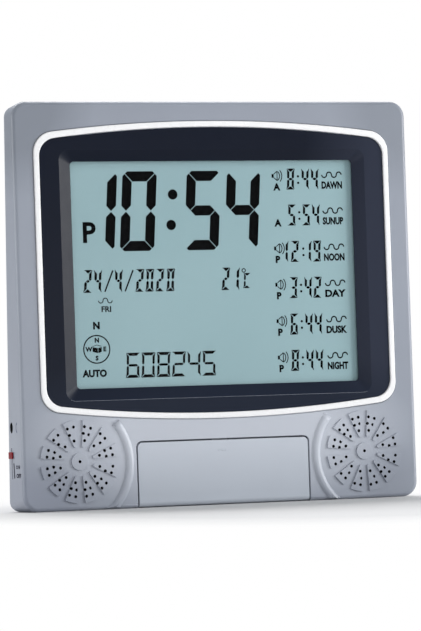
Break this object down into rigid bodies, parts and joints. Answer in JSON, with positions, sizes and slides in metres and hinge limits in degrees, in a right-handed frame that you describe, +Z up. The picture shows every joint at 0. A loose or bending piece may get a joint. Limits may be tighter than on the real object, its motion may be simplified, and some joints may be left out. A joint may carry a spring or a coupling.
{
  "type": "azan clock",
  "caption": "Table and wall clock for daily prayer times: wide liquid-crystal display, corner speaker grilles, keypad behind a push-to-open front door.",
  "frame": {"origin": "middle of the flat base that the clock stands on, half way between front and rear", "axes": "+Z up, -Y out of the display towards the reader, +X to the reader's right"},
  "size_m": [0.22, 0.0325, 0.209],
  "materials": {
    "case_plastic": "satin",
    "door_plastic": "satin",
    "trim_white": "gloss",
    "bezel_navy": "satin",
    "clear_lens": "clear",
    "lcd_face": "satin",
    "light_panel": "satin",
    "black_plastic": "matte",
    "strip_rubber": "matte",
    "board_green": "satin",
    "capacitor_sleeve": "gloss",
    "speaker_steel": "satin",
    "screw_steel": "satin",
    "lead_sleeve": "satin",
    "latch_plastic": "satin",
    "plunger_plastic": "satin",
    "panel_plastic": "matte",
    "key_rubber": "matte",
    "knob_red": "gloss",
    "contact_metal": "polished",
    "battery_label": "gloss"
  },
  "bodies": {
    "clock": {"front_case": "case_plastic", "rear_case": "case_plastic", "trim_ring": "trim_white", "display_bezel": "bezel_navy", "display_window": "clear_lens", "lcd_glass": "lcd_face", "backlight_panel": "light_panel", "lcd_holder": "black_plastic", "contact_strips": "strip_rubber", "main_board": "board_green", "sound_chip": "black_plastic", "clock_chip": "black_plastic", "capacitors": "capacitor_sleeve", "left_speaker_basket": "speaker_steel", "left_speaker_cone": "black_plastic", "left_speaker_magnet": "speaker_steel", "right_speaker_basket": "speaker_steel", "right_speaker_cone": "black_plastic", "right_speaker_magnet": "speaker_steel", "speaker_leads": "lead_sleeve", "speaker_screws": "screw_steel", "door_hinge_pins": "screw_steel", "latch_body": "latch_plastic", "keypad_panel": "panel_plastic", "key_mat": "strip_rubber", "keypad_board": "board_green", "jack_socket": "black_plastic", "jack_contact_pin": "contact_metal", "switch_body": "black_plastic", "battery_1": "battery_label", "battery_2": "battery_label", "battery_3": "battery_label", "battery_contacts": "contact_metal", "battery_leads": "lead_sleeve", "holder_screws": "screw_steel", "board_screws": "screw_steel", "case_screws": "screw_steel"},
    "keypad_door": {"keypad_door": "door_plastic"},
    "latch": {"latch_plunger": "plunger_plastic"},
    "switch": {"switch_knob": "knob_red"},
    "battery_door": {"battery_door": "case_plastic"},
    "reset": {"reset_button": "knob_red"},
    "key_1": {"key_1": "key_rubber"},
    "key_2": {"key_2": "key_rubber"},
    "key_3": {"key_3": "key_rubber"},
    "key_4": {"key_4": "key_rubber"},
    "key_5": {"key_5": "key_rubber"},
    "key_6": {"key_6": "key_rubber"},
    "key_7": {"key_7": "key_rubber"},
    "key_8": {"key_8": "key_rubber"}
  },
  "joints": [
    {"name": "keypad_door_hinge", "type": "hinge", "parent": "clock", "child": "keypad_door", "pos_m": [0, -0.01335, 0.0028], "axis": [1, 0, 0], "range_deg": [0, 90]},
    {"name": "latch_travel", "type": "slide", "parent": "clock", "child": "latch", "axis": [0, 1, 0], "range_m": [0, 0.001], "stiffness_N_per_m": 300},
    {"name": "switch_slide", "type": "slide", "parent": "clock", "child": "switch", "axis": [0, 0, -1], "range_m": [0, 0.0092]},
    {"name": "battery_door_hinge", "type": "hinge", "parent": "clock", "child": "battery_door", "pos_m": [0, 0.01432, 0.00782], "axis": [-1, 0, 0], "range_deg": [0, 85]},
    {"name": "reset_travel", "type": "slide", "parent": "clock", "child": "reset", "axis": [0, 1, 0], "range_m": [0, 0.0008], "stiffness_N_per_m": 400},
    {"name": "key_1_travel", "type": "slide", "parent": "clock", "child": "key_1", "axis": [0, 1, 0], "range_m": [0, 0.0008], "stiffness_N_per_m": 400},
    {"name": "key_2_travel", "type": "slide", "parent": "clock", "child": "key_2", "axis": [0, 1, 0], "range_m": [0, 0.0008], "stiffness_N_per_m": 400},
    {"name": "key_3_travel", "type": "slide", "parent": "clock", "child": "key_3", "axis": [0, 1, 0], "range_m": [0, 0.0008], "stiffness_N_per_m": 400},
    {"name": "key_4_travel", "type": "slide", "parent": "clock", "child": "key_4", "axis": [0, 1, 0], "range_m": [0, 0.0008], "stiffness_N_per_m": 400},
    {"name": "key_5_travel", "type": "slide", "parent": "clock", "child": "key_5", "axis": [0, 1, 0], "range_m": [0, 0.0008], "stiffness_N_per_m": 400},
    {"name": "key_6_travel", "type": "slide", "parent": "clock", "child": "key_6", "axis": [0, 1, 0], "range_m": [0, 0.0008], "stiffness_N_per_m": 400},
    {"name": "key_7_travel", "type": "slide", "parent": "clock", "child": "key_7", "axis": [0, 1, 0], "range_m": [0, 0.0008], "stiffness_N_per_m": 400},
    {"name": "key_8_travel", "type": "slide", "parent": "clock", "child": "key_8", "axis": [0, 1, 0], "range_m": [0, 0.0008], "stiffness_N_per_m": 400}
  ]
}
